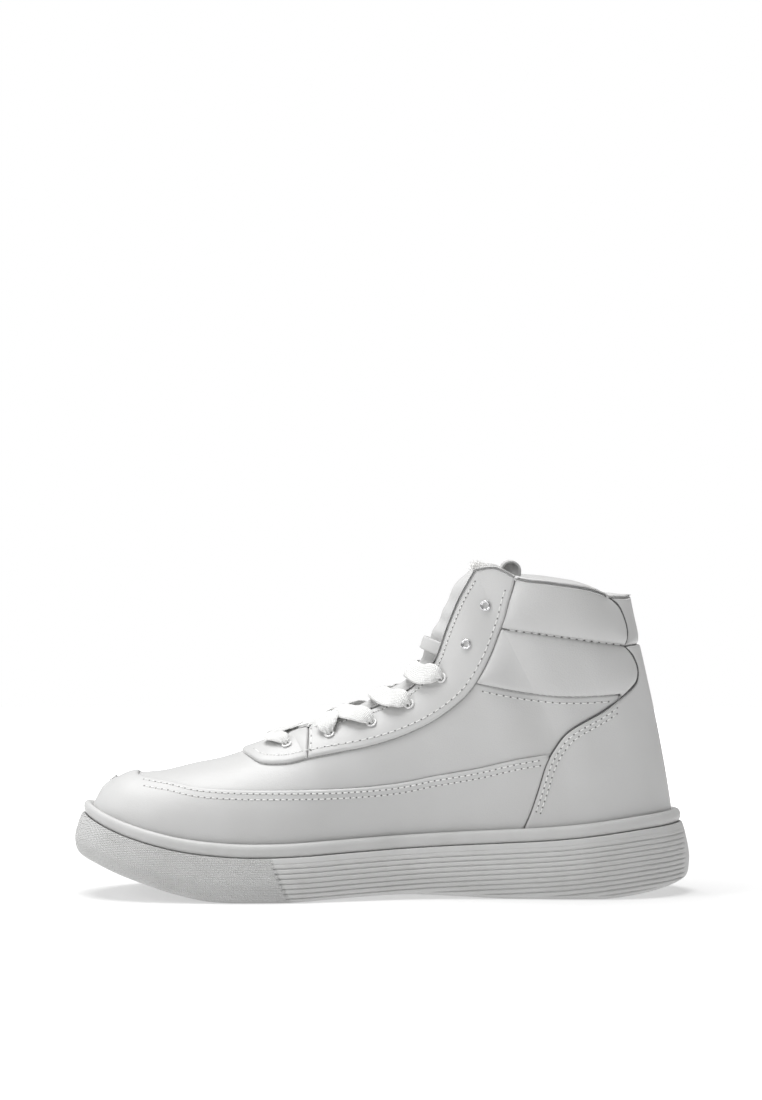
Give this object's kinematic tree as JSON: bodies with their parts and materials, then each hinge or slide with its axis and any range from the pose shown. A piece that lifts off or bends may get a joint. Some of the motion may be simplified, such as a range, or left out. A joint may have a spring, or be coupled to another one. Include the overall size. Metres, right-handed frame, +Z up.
{
  "type": "high-top shoe",
  "caption": "Right-foot white leather high-top shoe with padded collar, fur lining, flat lace in punched eyelets and a ribbed cup sole.",
  "frame": {"origin": "middle of the footprint's bounding box, on the ground under the sole", "axes": "+X from toe to heel, +Y to the wearer's right (outer side of this right shoe), +Z up"},
  "size_m": [0.3, 0.1069, 0.1622],
  "materials": {
    "leather": "smooth, fine grain, soft sheen",
    "lining": "short plush pile",
    "foam": "open foam",
    "sole_rubber": "moulded, satin, horizontal ribs",
    "board": "fibre board",
    "stiffener": "thermoplastic sheet",
    "steel": "polished",
    "eyelet_enamel": "white enamel",
    "lace": "flat woven",
    "aglet": "glossy"
  },
  "bodies": {
    "shoe": {"aglet_lateral": "aglet", "aglet_medial": "aglet", "collar_foam_lateral": "foam", "collar_foam_medial": "foam", "collar_lower_lateral": "leather", "collar_lower_medial": "leather", "collar_upper_lateral": "leather", "collar_upper_medial": "leather", "cupsole": "sole_rubber", "eyelet_lateral_1": "eyelet_enamel", "eyelet_lateral_2": "eyelet_enamel", "eyelet_lateral_3": "eyelet_enamel", "eyelet_lateral_4": "eyelet_enamel", "eyelet_lateral_5": "eyelet_enamel", "eyelet_lateral_6": "steel", "eyelet_lateral_7": "steel", "eyelet_medial_1": "eyelet_enamel", "eyelet_medial_2": "eyelet_enamel", "eyelet_medial_3": "eyelet_enamel", "eyelet_medial_4": "eyelet_enamel", "eyelet_medial_5": "eyelet_enamel", "eyelet_medial_6": "steel", "eyelet_medial_7": "steel", "eyestay_lateral": "leather", "eyestay_medial": "leather", "forefoot_lining": "lining", "heel_collar": "leather", "heel_collar_foam": "foam", "heel_counter": "stiffener", "heel_panel": "leather", "insole_board": "board", "lace": "lace", "midsole_insert": "foam", "mudguard": "leather", "quarter_lining_lateral": "lining", "quarter_lining_medial": "lining", "rand_bead": "sole_rubber", "shank": "steel", "throat_bridge": "leather", "toe_puff": "stiffener", "vamp": "leather"},
    "tongue": {"tongue_face": "leather", "tongue_foam": "foam", "tongue_lining": "lining", "lace_keeper": "leather"},
    "pull_tab": {"pull_tab": "leather"},
    "footbed": {"footbed": "foam"}
  },
  "joints": [
    {"name": "tongue_hinge", "type": "hinge", "parent": "shoe", "child": "tongue", "pos_m": [-0.04, 0, 0.07], "axis": [0, 1, 0], "range_deg": [0, 14], "stiffness_Nm_per_rad": 0.3, "springref_deg": -11.46},
    {"name": "pull_tab_hinge", "type": "hinge", "parent": "tongue", "child": "pull_tab", "pos_m": [0.0615, 0, 0.151], "axis": [0, 1, 0], "range_deg": [-8, 35], "stiffness_Nm_per_rad": 0.01},
    {"name": "footbed_lift", "type": "hinge", "parent": "shoe", "child": "footbed", "pos_m": [-0.128, 0, 0.036], "axis": [0, -1, 0], "range_deg": [0, 6]}
  ]
}
